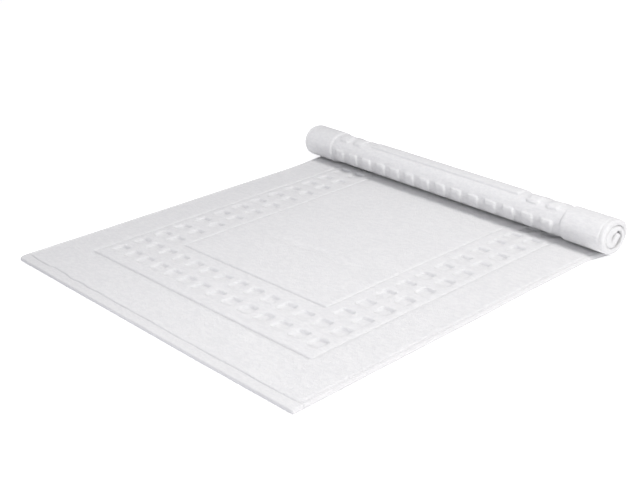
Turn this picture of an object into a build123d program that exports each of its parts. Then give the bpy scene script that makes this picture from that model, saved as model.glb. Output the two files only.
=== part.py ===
"""Bath mat of woven cotton terry, lying flat with its far end rolled up on top of itself.

The cloth is one thick sheet. It lies on the floor, climbs at the back of the roll, comes over the top
towards the front hem, and winds nearly two turns inwards, ending in a loose flap. The roll lies slightly
askew, so the whole run is one outline in an upright plane square to the roll, extruded along the roll
and then trimmed in plan.
Frame: X across the mat, Y along it from the front hem to the roll, Z up from the floor. The origin is on
the floor, below the middle of the mat as it lies.
"""

import math
import os

from build123d import *

os.makedirs("parts", exist_ok=True)

# Cloth, in millimetres
MAT_WIDTH = 500.0
MAT_LENGTH = 700.0  # unrolled, along the middle of the mat
CLOTH = 5.0  # ground weave with its pile on both faces
END_HEM = 13.0  # depth of the folded hem on each short side
SIDE_HEM = 6.0  # depth of the turned hem on each long side
CORNER_RADIUS = 3.5

# Roll
ROLL_SKEW = 4.5  # degrees between the roll and the front hem
LAYER_STEP = 7.4  # from the middle of one layer of cloth to the middle of the next
OUTER_CLIMB = 21.5  # radius of the cloth's middle where it climbs from the floor
OUTER_TOP = 3.5  # straight stretch between the two bends of the outer turn
INNER_TOP = 5.0
FLAP_BEND = 5.0
FLAP_ANGLE = 45.0  # slope of the loose end, which crosses the hollow of the roll

# Stitching: a line of thread sunk flush into the upper face of each hem
THREAD_WIDTH = 0.8
THREAD_DEPTH = 0.6
STITCH_INSET = 1.5  # from the inner edge of the hem

# The cloth's run from the floor inwards: each step is a straight length or a bend of (radius, degrees)
OUTER_FALL = OUTER_CLIMB - LAYER_STEP / 2
INNER_CLIMB = OUTER_CLIMB - LAYER_STEP
INNER_FALL = INNER_CLIMB - LAYER_STEP / 2
WOUND = [
    (OUTER_CLIMB, 180.0),
    OUTER_TOP,
    (OUTER_FALL, 180.0),
    OUTER_TOP,
    (INNER_CLIMB, 180.0),
    INNER_TOP,
    (INNER_FALL, 180.0),
    (FLAP_BEND, FLAP_ANGLE),
]


def step_length(step):
    """Length of the cloth's middle along one straight or one bend."""
    if isinstance(step, tuple):
        radius, degrees = step
        return radius * math.radians(degrees)
    return step


FLAT_RUN = MAT_LENGTH - END_HEM - sum(step_length(step) for step in WOUND)
ROLL_BACK = FLAT_RUN + OUTER_CLIMB + CLOTH / 2  # from the front edge to the back of the roll
SKEW_RISE = MAT_WIDTH / 2 * math.tan(math.radians(ROLL_SKEW))
FRONT_Y = -(ROLL_BACK + SKEW_RISE) / 2
LEFT_X = -MAT_WIDTH / 2
CLIMB_Y = FRONT_Y + FLAT_RUN  # where the cloth leaves the floor, on the mat's centre line
LEAD = FLAT_RUN + 2 * SKEW_RISE  # the run drawn ahead of the climb, to be trimmed in plan
HALF_REACH = 0.6 * MAT_WIDTH  # the run is drawn this far each way along the roll, to be trimmed
TALL = 3 * OUTER_CLIMB

roll_axis = Vector(1, 0, 0).rotate(Axis.Z, -ROLL_SKEW)
roll_across = Vector(0, 1, 0).rotate(Axis.Z, -ROLL_SKEW)
run_plane = Plane(origin=(0, CLIMB_Y, 0), x_dir=roll_across, z_dir=roll_axis)
LEAD_START = Vector(-LEAD, CLOTH / 2)
ALONG = Vector(1, 0)


def left_of(heading):
    """Direction from the cloth's middle towards its upper face, which is the inside of the roll."""
    return heading.rotate(Axis.Z, 90)


def walk(steps, point, heading):
    """Where the cloth's middle comes to after the steps, and its heading there."""
    for step in steps:
        if isinstance(step, tuple):
            radius, degrees = step
            centre = point + left_of(heading) * radius
            heading = heading.rotate(Axis.Z, degrees)
            point = centre - left_of(heading) * radius
        else:
            point = point + heading * step
    return point, heading


def draw_level(steps, point, heading, level):
    """Draw the run of the cloth at one level above its middle, and return the two ends of that line."""
    first = point + left_of(heading) * level
    for step in steps:
        start = point + left_of(heading) * level
        if isinstance(step, tuple):
            radius, degrees = step
            JernArc(start, heading, radius - level, degrees)
        else:
            Line(start, start + heading * step)
        point, heading = walk([step], point, heading)
    return first, point + left_of(heading) * level


def cloth_section(steps, point, heading, lower=-CLOTH / 2, upper=CLOTH / 2):
    """Face in the run plane that fills the cloth between two levels, along the steps."""
    with BuildSketch(run_plane) as section:
        with BuildLine():
            lower_start, lower_end = draw_level(steps, point, heading, lower)
            upper_start, upper_end = draw_level(steps, point, heading, upper)
            Line(lower_start, upper_start)
            Line(lower_end, upper_end)
        make_face()
    return section.sketch


WHOLE_RUN = [LEAD] + WOUND
rear_point, rear_heading = walk(WHOLE_RUN, LEAD_START, ALONG)
stitch_point = rear_point + rear_heading * STITCH_INSET
THREAD_LEVELS = (CLOTH / 2 - THREAD_DEPTH, CLOTH / 2)

cloth_face = cloth_section(WHOLE_RUN, LEAD_START, ALONG)
thread_face = cloth_section(WHOLE_RUN, LEAD_START, ALONG, *THREAD_LEVELS)
rear_hem_face = cloth_section([END_HEM], rear_point, rear_heading)
rear_thread_face = cloth_section([THREAD_WIDTH], stitch_point, rear_heading, *THREAD_LEVELS)


def plan_strip(x_low, x_high, y_low=FRONT_Y + END_HEM):
    """Plan outline from x_low to x_high, open-ended behind the roll, for trimming a run to width."""
    length = ROLL_BACK + 2 * SKEW_RISE
    with BuildSketch() as strip:
        with Locations(((x_low + x_high) / 2, y_low + length / 2)):
            Rectangle(x_high - x_low, length)
    return strip.sketch


# Terry body: the patterned cloth between the hems
with BuildPart() as terry_body:
    extrude(cloth_face, amount=HALF_REACH, both=True)
    extrude(plan_strip(LEFT_X + SIDE_HEM, -LEFT_X - SIDE_HEM), amount=TALL, mode=Mode.INTERSECT)

terry_body.part.label = "terry_body"
export_step(terry_body.part, "parts/terry_body.step")

# Side hems and their stitching: they follow the cloth round the whole roll
for side, name in ((-1, "left"), (1, "right")):
    hem_edges = sorted((side * MAT_WIDTH / 2, side * (MAT_WIDTH / 2 - SIDE_HEM)))
    stitch_middle = side * (MAT_WIDTH / 2 - SIDE_HEM + STITCH_INSET)
    stitch_strip = plan_strip(stitch_middle - THREAD_WIDTH / 2, stitch_middle + THREAD_WIDTH / 2)

    with BuildPart() as side_stitch:
        extrude(thread_face, amount=HALF_REACH, both=True)
        extrude(stitch_strip, amount=TALL, mode=Mode.INTERSECT)

    side_stitch.part.label = f"side_hem_{name}_stitch"
    export_step(side_stitch.part, f"parts/side_hem_{name}_stitch.step")

    with BuildPart() as side_hem:
        extrude(cloth_face, amount=HALF_REACH, both=True)
        extrude(plan_strip(*hem_edges), amount=TALL, mode=Mode.INTERSECT)
        add(side_stitch.part, mode=Mode.SUBTRACT)

    side_hem.part.label = f"side_hem_{name}"
    export_step(side_hem.part, f"parts/side_hem_{name}.step")

# Front end hem: a flat folded band across the near edge, with its stitching
with BuildPart() as front_stitch:
    with BuildSketch(Plane.XY.offset(CLOTH - THREAD_DEPTH)):
        with Locations((0, FRONT_Y + END_HEM - STITCH_INSET)):
            Rectangle(MAT_WIDTH - 2 * CORNER_RADIUS, THREAD_WIDTH)
    extrude(amount=THREAD_DEPTH)

front_stitch.part.label = "end_hem_front_stitch"
export_step(front_stitch.part, "parts/end_hem_front_stitch.step")

with BuildPart() as front_hem:
    with BuildSketch():
        with Locations((0, FRONT_Y + END_HEM / 2)):
            Rectangle(MAT_WIDTH, END_HEM)
    extrude(amount=CLOTH)
    near_corners = front_hem.edges().filter_by(Axis.Z).group_by(Axis.Y)[0]
    fillet(near_corners, CORNER_RADIUS)
    add(front_stitch.part, mode=Mode.SUBTRACT)

front_hem.part.label = "end_hem_front"
export_step(front_hem.part, "parts/end_hem_front.step")

# Rear end hem: the loose edge of the cloth, inside the roll
mat_strip = plan_strip(LEFT_X, -LEFT_X)

with BuildPart() as rear_stitch:
    extrude(rear_thread_face, amount=HALF_REACH, both=True)
    extrude(mat_strip, amount=TALL, mode=Mode.INTERSECT)

rear_stitch.part.label = "end_hem_rear_stitch"
export_step(rear_stitch.part, "parts/end_hem_rear_stitch.step")

with BuildPart() as rear_hem:
    extrude(rear_hem_face, amount=HALF_REACH, both=True)
    extrude(mat_strip, amount=TALL, mode=Mode.INTERSECT)
    add(rear_stitch.part, mode=Mode.SUBTRACT)

rear_hem.part.label = "end_hem_rear"
export_step(rear_hem.part, "parts/end_hem_rear.step")
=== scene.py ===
import math

import bpy
import numpy as np
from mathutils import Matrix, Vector


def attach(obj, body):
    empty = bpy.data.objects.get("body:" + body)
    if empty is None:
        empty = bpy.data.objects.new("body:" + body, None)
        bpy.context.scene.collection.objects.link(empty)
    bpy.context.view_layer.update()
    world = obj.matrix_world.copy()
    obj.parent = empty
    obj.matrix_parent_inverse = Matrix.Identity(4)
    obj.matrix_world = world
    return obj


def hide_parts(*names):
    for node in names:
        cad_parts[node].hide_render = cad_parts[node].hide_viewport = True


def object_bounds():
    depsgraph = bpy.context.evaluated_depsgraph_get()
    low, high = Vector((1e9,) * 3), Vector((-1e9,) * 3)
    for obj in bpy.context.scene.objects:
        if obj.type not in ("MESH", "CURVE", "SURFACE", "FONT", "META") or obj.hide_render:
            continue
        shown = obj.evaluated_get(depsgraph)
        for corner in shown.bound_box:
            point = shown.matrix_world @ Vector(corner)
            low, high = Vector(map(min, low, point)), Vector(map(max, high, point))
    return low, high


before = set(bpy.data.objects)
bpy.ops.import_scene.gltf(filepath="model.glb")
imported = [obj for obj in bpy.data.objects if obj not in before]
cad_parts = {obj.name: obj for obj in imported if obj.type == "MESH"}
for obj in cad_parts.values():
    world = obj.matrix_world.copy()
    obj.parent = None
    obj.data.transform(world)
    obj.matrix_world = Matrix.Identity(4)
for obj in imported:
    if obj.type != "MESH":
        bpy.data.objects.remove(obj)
cad_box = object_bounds()

# Lengths are in millimetres along the cloth or in the model's own frame, and MM turns them into metres
MM = 0.001

# Cloth: u runs across it from the left side, s along it from the front hem
WIDTH = 500.0
LENGTH = 700.0
CLOTH = 5.0
END_HEM = 13.0
SIDE_HEM = 6.0
STITCH_INSET = 1.5
FRONT_Y = cad_box[0][1] / MM

# Roll, as in the CAD model: straights, and bends of (radius, degrees), from the floor inwards
ROLL_SKEW = math.radians(4.5)
LAYER_STEP = 7.4
OUTER_CLIMB = 21.5
OUTER_TOP = 3.5
OUTER_FALL = OUTER_CLIMB - LAYER_STEP / 2
INNER_CLIMB = OUTER_CLIMB - LAYER_STEP
INNER_TOP = 5.0
INNER_FALL = INNER_CLIMB - LAYER_STEP / 2
FLAP_BEND = 5.0
FLAP_ANGLE = 45.0
WOUND = [
    (OUTER_CLIMB, 180.0),
    (OUTER_TOP, 0.0),
    (OUTER_FALL, 180.0),
    (OUTER_TOP, 0.0),
    (INNER_CLIMB, 180.0),
    (INNER_TOP, 0.0),
    (INNER_FALL, 180.0),
    (FLAP_BEND, FLAP_ANGLE),
    (3 * END_HEM, 0.0),  # the flap's straight, longer than the cloth that is left
]
# The rows of the weave turn to lie along the roll over this far each side of where it leaves the floor
TURN_OVER = 60.0
ROLL_TAPER = 0.04  # how much thicker the roll is at its left end than in its middle, and thinner at its right
ROLL_SPREAD = 0.065  # how much wider the cloth lies in the roll than flat
ROLL_SHIFT = 2.0  # how far the roll lies to the right of the flat cloth

# Woven pattern
BLOCK_COLUMNS = 14
BLOCK_ROWS = 18
COLUMN_PITCH = 26.9
ROW_PITCH = 29.84
BLOCK_WIDTH = 16.0
BLOCK_LENGTH = 17.0
BLOCK_CORNER = 2.5
BORDER_RINGS = 2
FIRST_COLUMN = WIDTH / 2 - COLUMN_PITCH * (BLOCK_COLUMNS - 1) / 2
FIRST_ROW = LENGTH / 2 - ROW_PITCH * (BLOCK_ROWS - 1) / 2
OUTER_LINE = (193.5, 279.3)  # half-sizes of the rectangle, about the middle of the mat
INNER_LINE = (124.7, 197.4)
POCKET_DEPTH = 1.9
CROSS_GROOVE = (1.7, 1.0)  # depth and half-width of the lines across the mat
LONG_GROOVE = (0.8, 1.6)  # and of those along it
FAR_SLOT = 1.3  # how much deeper a pocket is at its far end
BACK_GROOVE = 0.9
BAND_DROP = 2.1
PANEL_DROP = 0.3
EDGE_SOFT = 0.9  # half the width of the slope at the side of a block
LINE_DROP = 0.6  # depth of the border lines on the underside

# Extra thickness on the inner side of the wound cloth, which fills the space between its layers. The inner
# wrap so made cuts into the outer one by about a millimetre, and the flap's bend folds into itself.
PLUMP = 2.0  # all through the roll
CORE_PLUMP = 4.4  # more of it in the innermost half turn
FLAP_PLUMP = 2.0  # and in the flap
# Where each begins and ends, past the line where the cloth leaves the floor
PLUMP_RISE = (5.0, 50.0)
THIN_RISE, THIN_FALL = (128.0, 140.0), (166.0, 176.0)
CORE_RISE, CORE_FALL = (160.0, 190.0), (200.0, 214.0)
FLAP_RISE = (206.0, 216.0)

# Edges, hems and stitches
LEFT_CORNER = 9.0
RIGHT_CORNER = 2.2
HEM_EDGE = 2.6  # how far in from its free edge a hem is round
HEM_DIP = 0.5  # how deep the stitches draw the hem in
STITCH_PITCH = 3.2
STITCH_LENGTH = 2.5
STITCH_RADIUS = 0.38
STITCH_PROFILE = ((0.0, 0.25), (0.15, 0.8), (0.5, 1.0), (0.85, 0.8), (1.0, 0.25))  # along it, and fatness
STITCH_END = 4.0  # how far from the mat's corners the end hems' stitches begin
RING = 8

# Mesh lines beside the edge of a block, beside a border line or seam, and in from a hem's free edge
EDGE_OFFSETS = (-1.2, -0.4, 0.4, 1.2)
LINE_OFFSETS = (-1.8, -0.9, 0.0, 0.9, 1.8)
EDGE_STEPS = (0.0, 0.15, 0.5, 1.0, 1.7, 2.6)


def step_length(radius, degrees):
    """Length of one step of the wound run: a straight states its length where a bend states its radius."""
    return radius * math.radians(degrees) if degrees else radius


FLAT_RUN = LENGTH - END_HEM - sum(step_length(*step) for step in WOUND[:-1])


def value_noise(u, s, cell, seed):
    """Smooth noise from -1 to 1 over the cloth, with features about one cell across."""
    lattice = np.random.default_rng(seed).uniform(-1, 1, (64, 64))
    gu, gs = u / cell + 7.3, s / cell + 11.7
    iu, js = np.floor(gu).astype(int), np.floor(gs).astype(int)
    fu, fs = gu - iu, gs - js
    fu, fs = fu * fu * (3 - 2 * fu), fs * fs * (3 - 2 * fs)
    a = lattice[iu % 64, js % 64]
    b = lattice[(iu + 1) % 64, js % 64]
    c = lattice[iu % 64, (js + 1) % 64]
    d = lattice[(iu + 1) % 64, (js + 1) % 64]
    return (a * (1 - fu) + b * fu) * (1 - fs) + (c * (1 - fu) + d * fu) * fs


def smoothstep(low, high, x):
    """0 below low, 1 above high, and a smooth rise between them."""
    t = np.clip((x - low) / (high - low), 0, 1)
    return t * t * (3 - 2 * t)


def wound_run(a):
    """Middle of the cloth in the plane across the roll, a past the climb: across, up, and its normal."""
    across = np.where(a < 0, a, 0.0)
    up = np.full_like(a, CLOTH / 2)
    angle = np.zeros_like(a)
    begin, heading, point = 0.0, 0.0, np.array([0.0, CLOTH / 2])
    for radius, degrees in WOUND:
        length = step_length(radius, degrees)
        here = a >= begin
        t = a[here] - begin
        if degrees:
            turn = heading + t / radius
            across[here] = point[0] + radius * (np.sin(turn) - math.sin(heading))
            up[here] = point[1] + radius * (math.cos(heading) - np.cos(turn))
            angle[here] = turn
            after = heading + math.radians(degrees)
            point = point + radius * np.array(
                [math.sin(after) - math.sin(heading), math.cos(heading) - math.cos(after)]
            )
            heading = after
        else:
            across[here] = point[0] + t * math.cos(heading)
            up[here] = point[1] + t * math.sin(heading)
            angle[here] = heading
            point = point + length * np.array([math.cos(heading), math.sin(heading)])
        begin += length
    return across, up, -np.sin(angle), np.cos(angle)


def roll_place(u, s):
    """How far a point of the cloth is along the roll, and past the line where it leaves the floor."""
    x, y = u - WIDTH / 2, s - FLAT_RUN
    t = np.clip((y + TURN_OVER) / (2 * TURN_OVER), 0, 1)
    turned = t * t * (3 - 2 * t)
    slip = np.minimum(y, TURN_OVER) - 2 * TURN_OVER * (t**3 - t**4 / 2)
    sine, cosine = math.sin(ROLL_SKEW), math.cos(ROLL_SKEW)
    along = x * (cosine + turned * (1 - cosine + ROLL_SPREAD)) + ROLL_SHIFT * turned - sine * slip
    past = x * sine * (1 - turned) + y * (cosine + turned * (1 - cosine))
    return along, past


def past_climb(u, s):
    return roll_place(u, s)[1]


def place(u, s, level):
    """Where a point of the cloth lies, at a level above the cloth's middle, in metres."""
    u, s = round_corners(u, s)
    along, past = roll_place(u, s)
    across, up, normal_across, normal_up = wound_run(past)
    taper = np.where(past > 0, 1 - ROLL_TAPER * along / (WIDTH / 2), 1.0)
    across = across * taper + normal_across * level
    up = CLOTH / 2 + (up - CLOTH / 2) * taper + normal_up * level
    px = along * math.cos(ROLL_SKEW) + across * math.sin(ROLL_SKEW)
    py = across * math.cos(ROLL_SKEW) - along * math.sin(ROLL_SKEW) + FLAT_RUN + FRONT_Y
    return np.stack([px, py, up], axis=-1) * MM


def round_corners(u, s):
    """Draws the front corners in to round ones, and lets the seam of the front hem wander a little."""
    for side, radius in ((0.0, LEFT_CORNER), (WIDTH, RIGHT_CORNER)):
        in_u = np.clip(radius - np.abs(u - side), 0, None)
        in_s = np.clip(radius - s, 0, None)
        reach = np.maximum(np.hypot(in_u, in_s), 1e-6)
        shrink = np.where((in_u > 0) & (in_s > 0), np.maximum(in_u, in_s) / reach, 1.0)
        inward = 1.0 if side == 0 else -1.0
        u = np.where(shrink < 1, side + inward * (radius - in_u * shrink), u)
        s = np.where(shrink < 1, radius - in_s * shrink, s)
    wander = value_noise(u, 0 * s, 19.0, 5) * (0.5 + 1.1 * (1 - smoothstep(60.0, 230.0, u)))
    return u, s + wander * np.exp(-(((s - END_HEM) / 7.0) ** 2))


def box_distance(x, y, half_x, half_y, corner=0.0):
    """Signed distance to a rounded rectangle about the origin, negative inside."""
    qx, qy = np.abs(x) - half_x + corner, np.abs(y) - half_y + corner
    return np.hypot(np.maximum(qx, 0), np.maximum(qy, 0)) + np.minimum(np.maximum(qx, qy), 0) - corner


def block_depth(u, s):
    """1 inside a woven block, 0 outside, over the two outer rings of the grid."""
    col = np.clip(np.rint((u - FIRST_COLUMN) / COLUMN_PITCH), 0, BLOCK_COLUMNS - 1)
    row = np.clip(np.rint((s - FIRST_ROW) / ROW_PITCH), 0, BLOCK_ROWS - 1)
    ring = np.minimum(
        np.minimum(col, BLOCK_COLUMNS - 1 - col), np.minimum(row, BLOCK_ROWS - 1 - row)
    )
    d = box_distance(
        u - FIRST_COLUMN - col * COLUMN_PITCH,
        s - FIRST_ROW - row * ROW_PITCH,
        BLOCK_WIDTH / 2,
        BLOCK_LENGTH / 2,
        BLOCK_CORNER,
    )
    return np.where(ring < BORDER_RINGS, 1 - smoothstep(-EDGE_SOFT, EDGE_SOFT, d), 0.0)


def far_slot(u, s):
    """1 along the far end of each pocket, which is its deepest part."""
    row = np.clip(np.rint((s - FIRST_ROW) / ROW_PITCH), 0, BLOCK_ROWS - 1)
    return np.exp(-(((s - FIRST_ROW - row * ROW_PITCH - BLOCK_LENGTH / 2 + 0.8) / 1.1) ** 2))


def beyond_lines(u, s):
    """For each rectangle of border lines, how far a point is beyond its sides and beyond its ends."""
    x, y = np.abs(u - WIDTH / 2), np.abs(s - LENGTH / 2)
    return [(x - half_x, y - half_y) for half_x, half_y in (OUTER_LINE, INNER_LINE)]


def cross_lines(u, s, reach):
    """1 along the border lines that run across the mat."""
    found = [np.exp(-((y / reach) ** 2)) * (1 - smoothstep(-0.5, 0.5, x)) for x, y in beyond_lines(u, s)]
    return np.max(found, axis=0)


def long_lines(u, s, reach):
    """1 along the border lines that run the length of the mat."""
    found = [np.exp(-((x / reach) ** 2)) * (1 - smoothstep(-0.5, 0.5, y)) for x, y in beyond_lines(u, s)]
    return np.max(found, axis=0)


def grooves(u, s):
    """Depth of the border lines in the upper side."""
    cross = CROSS_GROOVE[0] * cross_lines(u, s, CROSS_GROOVE[1])
    along = LONG_GROOVE[0] * long_lines(u, s, LONG_GROOVE[1])
    return np.maximum(cross, along)


def line_distances(u, s):
    """Signed distances to the outer and the inner border line."""
    x, y = u - WIDTH / 2, s - LENGTH / 2
    return box_distance(x, y, *OUTER_LINE), box_distance(x, y, *INNER_LINE)


def pile(u, s, seed):
    """Unevenness of the terry's surface."""
    return 0.10 * value_noise(u, s, 7.7, seed) + 0.22 * value_noise(u, s, 31.0, seed + 2)


def hem_pinch(u, s):
    """1 at the seams with the hems, falling to 0 over the few millimetres where the pile recovers."""
    side = np.minimum(u, WIDTH - u) - SIDE_HEM
    end = np.minimum(s, LENGTH - s) - END_HEM
    return 1 - smoothstep(0.0, 2.0, np.minimum(side, end))


def lift(u, s):
    """Gentle unevenness of the cloth as it lies, none of it below the floor and none in the roll."""
    flat = 1 - smoothstep(-90.0, -10.0, past_climb(u, s))
    broad = 0.9 * (1 + value_noise(u, s, 74.0, 31)) * 0.5
    return flat * broad


def crease(u, s):
    """A faint crease across the middle of the panel."""
    across = smoothstep(130.0, 200.0, u) * (1 - smoothstep(270.0, 370.0, u))
    return 1.0 * across * np.exp(-(((s - 243.0 - 12 * value_noise(u, s, 40.0, 9)) / 6.0) ** 2))


def plump(u, s):
    """Extra thickness on the inner side of the wound cloth."""
    past = past_climb(u, s)
    thin = smoothstep(*THIN_RISE, past) * (1 - smoothstep(*THIN_FALL, past))
    core = smoothstep(*CORE_RISE, past) * (1 - smoothstep(*CORE_FALL, past))
    body = PLUMP * (smoothstep(*PLUMP_RISE, past) - 0.8 * thin)
    return body + CORE_PLUMP * core + FLAP_PLUMP * smoothstep(*FLAP_RISE, past)


def terry_top(u, s):
    pockets = (POCKET_DEPTH + FAR_SLOT * far_slot(u, s)) * block_depth(u, s)
    level = CLOTH / 2 + pile(u, s, 3) - pockets - grooves(u, s) - crease(u, s)
    return level - 1.0 * hem_pinch(u, s) + lift(u, s) + plump(u, s)


def terry_bottom(u, s):
    outer, inner = line_distances(u, s)
    band = (1 - smoothstep(-EDGE_SOFT, EDGE_SOFT, outer)) * smoothstep(-EDGE_SOFT, EDGE_SOFT, inner)
    lines = np.exp(-((outer / BACK_GROOVE) ** 2)) + np.exp(-((inner / BACK_GROOVE) ** 2))
    panel = 1 - smoothstep(-EDGE_SOFT, EDGE_SOFT, inner)
    low = BAND_DROP * band * (1 - block_depth(u, s)) + PANEL_DROP * panel
    drop = low + LINE_DROP * lines + 0.7 * hem_pinch(u, s)
    return -CLOTH / 2 + drop - np.minimum(0.5 * pile(u, s, 13), 0.0) + lift(u, s)


def top_painted_shade(u, s):
    """How much painted shade is laid on: at the far ends of pockets, along the border lines across the mat,
    and at the front hem's seam.
    """
    pockets = 0.75 * far_slot(u, s) * block_depth(u, s)
    seam = 0.8 * hem_pinch(u, s) * smoothstep(-3.0, 0.0, END_HEM + 3.0 - s)
    return np.clip(pockets + 0.8 * cross_lines(u, s, 1.0) + seam, 0, 1)


# Painted shade along the border lines across the mat, on its underside.
def bottom_painted_shade(u, s):
    return 0.4 * cross_lines(u, s, 0.7)


def hem_half(c, width):
    """Half the thickness of a hem, c in from its free edge: round edge, soft crown, fall to the seam."""
    edge = 1 - np.clip(c / HEM_EDGE, 0, 1)
    crown = CLOTH / 2 * np.sqrt(np.clip(1 - edge**2, 0.01, 1))
    dip = HEM_DIP * np.exp(-(((c - width + STITCH_INSET) / 0.8) ** 2))
    return crown - dip - 0.9 * smoothstep(-1.0, 0.0, c - width)


def mesh_piece(name, verts, faces, material):
    mesh = bpy.data.meshes.new(name)
    mesh.from_pydata(verts, [], faces)
    mesh.validate()
    mesh.update()
    mesh.polygons.foreach_set("use_smooth", [True] * len(mesh.polygons))
    piece = bpy.data.objects.new(name, mesh)
    bpy.context.scene.collection.objects.link(piece)
    mesh.materials.append(material)
    return piece


def closed_sheet(name, u_lines, s_lines, top, bottom, material, top_painted_shade, bottom_painted_shade):
    """Closed slab of cloth over a grid of lines, between two level functions, with its painted shade."""
    u, s = np.meshgrid(u_lines, s_lines, indexing="ij")
    n_u, n_s = u.shape
    upper = place(u, s, top(u, s)).reshape(-1, 3)
    lower = place(u, s, bottom(u, s)).reshape(-1, 3)
    grid = np.arange(n_u * n_s).reshape(n_u, n_s)
    under = grid + n_u * n_s

    def quads(a, b, c, d):
        return np.stack([a.ravel(), b.ravel(), c.ravel(), d.ravel()], axis=-1)

    faces = [
        quads(grid[:-1, :-1], grid[1:, :-1], grid[1:, 1:], grid[:-1, 1:]),
        quads(under[:-1, :-1], under[:-1, 1:], under[1:, 1:], under[1:, :-1]),
        quads(grid[:-1, 0], under[:-1, 0], under[1:, 0], grid[1:, 0]),
        quads(grid[:-1, -1], grid[1:, -1], under[1:, -1], under[:-1, -1]),
        quads(grid[0, :-1], grid[0, 1:], under[0, 1:], under[0, :-1]),
        quads(grid[-1, :-1], under[-1, :-1], under[-1, 1:], grid[-1, 1:]),
    ]
    verts = np.concatenate([upper, lower])
    piece = mesh_piece(name, verts.tolist(), np.concatenate(faces).tolist(), material)
    # Painted shade, one value per point, stored as a mesh attribute that the material darkens by.
    tone_and_painted_shade = piece.data.attributes.new("tone_and_painted_shade", "FLOAT", "POINT")
    tone_and_painted_shade.data.foreach_set("value", np.concatenate([top_painted_shade(u, s).ravel(), bottom_painted_shade(u, s).ravel()]))
    return piece


def grid_lines(start, end, spacing, edges=(), offsets=(), least=0.45):
    """Even lines, with closer ones beside each edge of the pattern."""
    marks = [start, end]
    for edge in edges:
        marks += [edge + o for o in offsets if start < edge + o < end]
    close = sorted(marks)
    lines = []
    for low, high in zip(close, close[1:]):
        gaps = max(1, round((high - low) / spacing))
        lines += [low + (high - low) * k / gaps for k in range(gaps)]
    kept = []
    for line in lines:
        if not kept or line - kept[-1] >= least:
            kept.append(line)
    if end - kept[-1] < least:
        kept.pop()
    return np.array(kept + [end])


def block_edges(first, pitch, count, size):
    return [first + pitch * k + side * size / 2 for k in range(count) for side in (-1, 1)]


def cloth_material(name, colour, pile_scale, bump_height, sheen):
    """White cotton: pile or weave as bump, slight random unevenness in colour, and painted shade mixed in
    from the mesh.
    """
    material = bpy.data.materials.new(name)
    material.use_nodes = True
    nodes, links = material.node_tree.nodes, material.node_tree.links
    shader = nodes["Principled BSDF"]
    shader.inputs["Roughness"].default_value = 0.95
    shader.inputs["Specular IOR Level"].default_value = 0.15
    shader.inputs["Sheen Weight"].default_value = sheen
    shader.inputs["Sheen Roughness"].default_value = 0.6
    coords = nodes.new("ShaderNodeTexCoord")
    grain = nodes.new("ShaderNodeMapping")
    grain.inputs["Scale"].default_value = (0.5, 1.0, 1.0)
    links.new(coords.outputs["Object"], grain.inputs["Vector"])

    loops = nodes.new("ShaderNodeTexVoronoi")
    loops.inputs["Scale"].default_value = pile_scale
    links.new(coords.outputs["Object"], loops.inputs["Vector"])
    fluff = nodes.new("ShaderNodeTexNoise")
    fluff.inputs["Scale"].default_value = pile_scale * 0.27
    fluff.inputs["Detail"].default_value = 4.0
    fluff.inputs["Roughness"].default_value = 0.7
    links.new(grain.outputs["Vector"], fluff.inputs["Vector"])

    height = nodes.new("ShaderNodeMath")
    height.operation = "SUBTRACT"
    links.new(fluff.outputs["Fac"], height.inputs[0])
    links.new(loops.outputs["Distance"], height.inputs[1])
    bump = nodes.new("ShaderNodeBump")
    bump.inputs["Strength"].default_value = 0.7
    bump.inputs["Distance"].default_value = bump_height
    links.new(height.outputs["Value"], bump.inputs["Height"])
    links.new(bump.outputs["Normal"], shader.inputs["Normal"])

    tone_and_painted_shade = nodes.new("ShaderNodeValToRGB")
    tone_and_painted_shade.color_ramp.elements[0].position = 0.4
    tone_and_painted_shade.color_ramp.elements[0].color = (colour[0] * 0.93, colour[1] * 0.932, colour[2] * 0.94, 1)
    tone_and_painted_shade.color_ramp.elements[1].position = 0.6
    tone_and_painted_shade.color_ramp.elements[1].color = (*colour, 1)
    links.new(fluff.outputs["Fac"], tone_and_painted_shade.inputs["Fac"])
    # Painted shade: where the mesh's painted-shade attribute asks for it, the colour is mixed towards a
    # darker one.
    painted = nodes.new("ShaderNodeAttribute")
    painted.attribute_name = "tone_and_painted_shade"
    mixed = nodes.new("ShaderNodeMix")
    mixed.data_type = "RGBA"
    links.new(painted.outputs["Fac"], mixed.inputs["Factor"])
    links.new(tone_and_painted_shade.outputs["Color"], mixed.inputs["A"])
    mixed.inputs["B"].default_value = (colour[0] * 0.72, colour[1] * 0.72, colour[2] * 0.74, 1)
    links.new(mixed.outputs["Result"], shader.inputs["Base Color"])
    return material


terry = cloth_material("terry_cotton", (0.70, 0.70, 0.708), 1100.0, 0.0015, 0.2)
hem_weave = cloth_material("hem_weave", (0.665, 0.665, 0.67), 1500.0, 0.0008, 0.1)
thread = cloth_material("sewing_thread", (0.74, 0.74, 0.74), 2600.0, 0.0002, 0.05)

# Terry body

column_edges = block_edges(FIRST_COLUMN, COLUMN_PITCH, BLOCK_COLUMNS, BLOCK_WIDTH)
row_edges = block_edges(FIRST_ROW, ROW_PITCH, BLOCK_ROWS, BLOCK_LENGTH)
pinch_u = [SIDE_HEM + 1.5, WIDTH - SIDE_HEM - 1.5]
pinch_s = [END_HEM + 1.5, LENGTH - END_HEM - 1.5]
lines_u = [WIDTH / 2 + side * half for side in (-1, 1) for half in (OUTER_LINE[0], INNER_LINE[0])]
lines_s = [LENGTH / 2 + side * half for side in (-1, 1) for half in (OUTER_LINE[1], INNER_LINE[1])]


def pattern_lines(start, end, blocks, borders, seams):
    offsets = [(edge, EDGE_OFFSETS) for edge in blocks] + [(edge, LINE_OFFSETS) for edge in borders + seams]
    marks = [edge + o for edge, around in offsets for o in around]
    return grid_lines(start, end, 3.4, marks, (0.0,))


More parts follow.
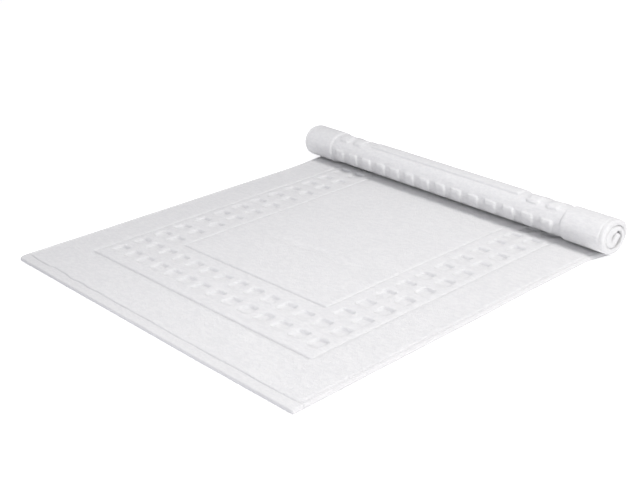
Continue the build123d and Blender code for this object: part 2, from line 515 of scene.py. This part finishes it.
body_u = pattern_lines(SIDE_HEM, WIDTH - SIDE_HEM, column_edges, lines_u, pinch_u)
body_s = pattern_lines(END_HEM, LENGTH - END_HEM, row_edges, lines_s, pinch_s)
terry_cloth = closed_sheet(
    "terry_cloth", body_u, body_s, terry_top, terry_bottom, terry, top_painted_shade, bottom_painted_shade
)
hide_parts("terry_body")

# Hems


def hem(name, node, u_lines, s_lines, depth, width):
    """A folded hem over a grid; depth(u, s) is the distance in from the free edge."""

    def swell(u, s):
        return 0.12 * value_noise(u, s, 9.0, 41) + 0.10 * value_noise(u, s, 23.0, 42)

    def top(u, s):
        return hem_half(depth(u, s), width) + swell(u, s) + lift(u, s) + plump(u, s)

    def bottom(u, s):
        return -hem_half(depth(u, s), width) + lift(u, s)

    # Painted shade where the hem turns under at its free edge: full along the ends, about a third as strong
    # along the sides.
    def turned_edge_painted_shade(u, s):
        end = 1 - smoothstep(0.3, 2.2, np.minimum(s, LENGTH - s))
        side = 1 - smoothstep(0.3, 2.2, np.minimum(u, WIDTH - u))
        return np.maximum(end, 0.35 * side)

    piece = closed_sheet(name, u_lines, s_lines, top, bottom, hem_weave, turned_edge_painted_shade, turned_edge_painted_shade)
    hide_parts(node)
    return piece


def across_hem(width):
    """Distances in from the free edge, closer together where the edge is round."""
    return np.array(list(EDGE_STEPS) + list(np.arange(3.4, width - 0.1, 0.8)) + [width])


def end_depth(u, s):
    side = np.minimum(u, WIDTH - u)
    end = np.minimum(s, LENGTH - s)
    return np.minimum(end, side)


def side_depth(u, s):
    return np.minimum(u, WIDTH - u)


along_u = np.concatenate([EDGE_STEPS, np.arange(5.0, WIDTH - 5.0, 2.5), WIDTH - np.array(EDGE_STEPS[::-1])])
along_s = grid_lines(END_HEM, LENGTH - END_HEM, 2.5)
end_c, side_c = across_hem(END_HEM), across_hem(SIDE_HEM)
hems = [
    hem("front_hem", "end_hem_front", along_u, end_c, end_depth, END_HEM),
    hem("rear_hem", "end_hem_rear", along_u, LENGTH - end_c[::-1], end_depth, END_HEM),
    hem("left_hem", "side_hem_left", side_c, along_s, side_depth, SIDE_HEM),
    hem("right_hem", "side_hem_right", WIDTH - side_c[::-1], along_s, side_depth, SIDE_HEM),
]


def stitch_points(middle, way, face):
    """Rings of points round one stitch on the upper (1) or under (-1) face of a hem."""
    cross = np.array([-way[1], way[0]])
    turn = 2 * math.pi * np.arange(RING) / RING
    us, ss, levels = [], [], []
    for t, fat in STITCH_PROFILE:
        centre = middle + way * (t - 0.5) * STITCH_LENGTH
        reach = STITCH_RADIUS * fat * np.cos(turn)
        us.append(centre[0] + cross[0] * reach)
        ss.append(centre[1] + cross[1] * reach)
        levels.append(STITCH_RADIUS * fat * np.sin(turn))
    us, ss, levels = np.concatenate(us), np.concatenate(ss), np.concatenate(levels)
    at_u, at_s = np.full_like(us, middle[0]), np.full_like(ss, middle[1])
    base = face * (CLOTH / 2 - HEM_DIP) + lift(at_u, at_s)
    if face > 0:
        base = base + plump(at_u, at_s)
    return place(us, ss, base + levels).tolist()


def stitch_faces(first):
    """Sides and two ends of the stitch whose points begin at index first."""
    faces = []
    for r in range(len(STITCH_PROFILE) - 1):
        for j in range(RING):
            a = first + r * RING + j
            b = first + r * RING + (j + 1) % RING
            faces.append((a, b, b + RING, a + RING))
    last = first + (len(STITCH_PROFILE) - 1) * RING
    faces.append(tuple(first + j for j in reversed(range(RING))))
    faces.append(tuple(last + j for j in range(RING)))
    return faces


def stitch_line(name, node, starts, ends, sides):
    """A row of single stitches from starts to ends in cloth coordinates, on one face or both."""
    start, end = np.array(starts), np.array(ends)
    span = np.linalg.norm(end - start)
    way = (end - start) / span
    verts, faces = [], []
    for face in sides:
        for k in range(int(span / STITCH_PITCH)):
            faces += stitch_faces(len(verts))
            verts += stitch_points(start + way * (k + 0.5) * STITCH_PITCH, way, face)
    piece = mesh_piece(name, verts, faces, thread)
    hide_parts(node)
    return piece


def end_stitches(name, node, s, sides):
    return stitch_line(name, node, (STITCH_END, s), (WIDTH - STITCH_END, s), sides)


def side_stitches(name, node, u):
    return stitch_line(name, node, (u, END_HEM), (u, LENGTH - END_HEM), (1, -1))


end_in = END_HEM - STITCH_INSET
side_in = SIDE_HEM - STITCH_INSET
stitches = [
    end_stitches("front_stitching", "end_hem_front_stitch", end_in, (1,)),
    end_stitches("rear_stitching", "end_hem_rear_stitch", LENGTH - end_in, (1, -1)),
    side_stitches("left_stitching", "side_hem_left_stitch", side_in),
    side_stitches("right_stitching", "side_hem_right_stitch", WIDTH - side_in),
]

for piece in [terry_cloth] + hems + stitches:
    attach(piece, "root")

# Floor, light and camera, in metres
FLOOR_HALF = 6.0
floor_corners = [(x * FLOOR_HALF, y * FLOOR_HALF, 0.0) for x, y in ((-1, -1), (1, -1), (1, 1), (-1, 1))]
floor_mesh = bpy.data.meshes.new("floor")
floor_mesh.from_pydata(floor_corners, [], [(0, 1, 2, 3)])
floor = bpy.data.objects.new("floor", floor_mesh)
bpy.context.scene.collection.objects.link(floor)
floor_material = bpy.data.materials.new("floor_white")
floor_material.use_nodes = True
floor_shader = floor_material.node_tree.nodes["Principled BSDF"]
floor_shader.inputs["Base Color"].default_value = (0.92, 0.92, 0.92, 1)
floor_shader.inputs["Emission Color"].default_value = (1.0, 1.0, 1.0, 1)
floor_shader.inputs["Emission Strength"].default_value = 0.45
floor_shader.inputs["Roughness"].default_value = 0.9
floor_mesh.materials.append(floor_material)

world = bpy.data.worlds.new("studio")
world.use_nodes = True
world.node_tree.nodes["Background"].inputs["Color"].default_value = (0.96, 0.955, 1.0, 1)
world.node_tree.nodes["Background"].inputs["Strength"].default_value = 0.54
bpy.context.scene.world = world


def soft_light(name, at, size, watts, colour):
    """A square softbox that faces the middle of the mat."""
    lamp = bpy.data.lights.new(name, "AREA")
    lamp.size = size
    lamp.energy = watts
    lamp.color = colour
    box = bpy.data.objects.new(name, lamp)
    box.location = at
    box.rotation_euler = (Vector((0, 0, 0)) - Vector(at)).to_track_quat("-Z", "Y").to_euler()
    bpy.context.scene.collection.objects.link(box)


soft_light("key", (1.3, 0.02, 1.5), 0.5, 29.5, (1.0, 0.985, 0.955))
soft_light("front_fill", (0.35, -1.2, 1.4), 1.0, 11.0, (0.98, 0.98, 1.0))

roll_lamp = bpy.data.lights.new("roll_fill", "SPOT")
roll_lamp.energy = 13.0
roll_lamp.shadow_soft_size = 0.25
roll_lamp.spot_size = math.radians(36)
roll_lamp.spot_blend = 0.7
roll_light = bpy.data.objects.new("roll_fill", roll_lamp)
roll_light.location = (0.25, -1.0, 0.4)
to_roll = Vector((0.0, 0.24, 0.03)) - roll_light.location
roll_light.rotation_euler = to_roll.to_track_quat("-Z", "Y").to_euler()
bpy.context.scene.collection.objects.link(roll_light)

CAMERA_AT = (0.8241, -0.4521 + FRONT_Y * MM, 0.4582)
CAMERA_AZIMUTH = math.radians(-49.29)
CAMERA_ELEVATION = math.radians(22.3)
CAMERA_ROLL = math.radians(-3.42)
LENS = 57.06
ahead = Vector((
    math.sin(CAMERA_AZIMUTH) * math.cos(CAMERA_ELEVATION),
    math.cos(CAMERA_AZIMUTH) * math.cos(CAMERA_ELEVATION),
    -math.sin(CAMERA_ELEVATION),
))
level_right = Vector((math.cos(CAMERA_AZIMUTH), -math.sin(CAMERA_AZIMUTH), 0.0))
level_up = level_right.cross(ahead)
right = level_right * math.cos(CAMERA_ROLL) + level_up * math.sin(CAMERA_ROLL)
up = level_up * math.cos(CAMERA_ROLL) - level_right * math.sin(CAMERA_ROLL)
camera_data = bpy.data.cameras.new("camera")
camera_data.lens = LENS
camera_data.sensor_width = 36.0
camera = bpy.data.objects.new("camera", camera_data)
matrix = camera.matrix_world.to_3x3()
matrix.col[0], matrix.col[1], matrix.col[2] = right, up, -ahead
camera.matrix_world = matrix.to_4x4()
camera.location = CAMERA_AT
bpy.context.scene.collection.objects.link(camera)
bpy.context.scene.camera = camera
bpy.context.scene.view_settings.view_transform = "Standard"
